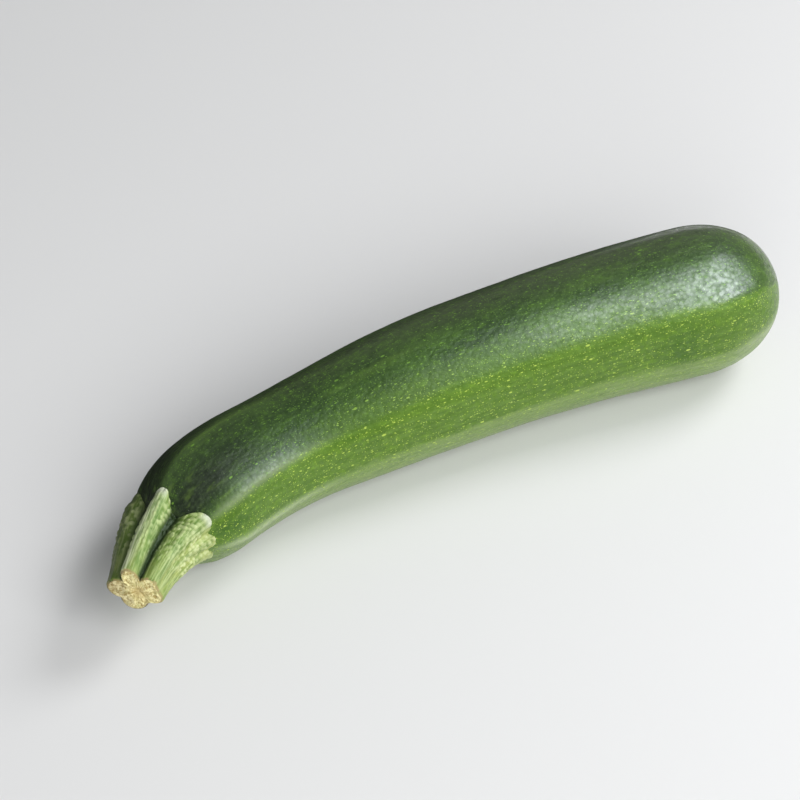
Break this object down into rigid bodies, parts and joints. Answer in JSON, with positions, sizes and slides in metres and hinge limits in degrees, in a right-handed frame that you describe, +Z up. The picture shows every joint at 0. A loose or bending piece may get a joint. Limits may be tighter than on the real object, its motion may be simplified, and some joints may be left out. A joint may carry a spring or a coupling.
{
  "type": "courgette",
  "caption": "Curved green courgette lying on its side, with pale specks, a darker top, a blunt blossom end and a short ribbed stem cut straight across.",
  "frame": {"origin": "under the middle of the courgette's box, on the surface it lies on", "axes": "+X from the cut end of the stem to the blossom end, +Y the side the fruit bows towards, +Z up as it lies"},
  "size_m": [0.2402, 0.0618, 0.0467],
  "materials": {
    "fruit_skin": "satin",
    "stem_rind": "matte"
  },
  "bodies": {
    "root": {"fruit": "fruit_skin", "stem": "stem_rind"}
  },
  "joints": []
}
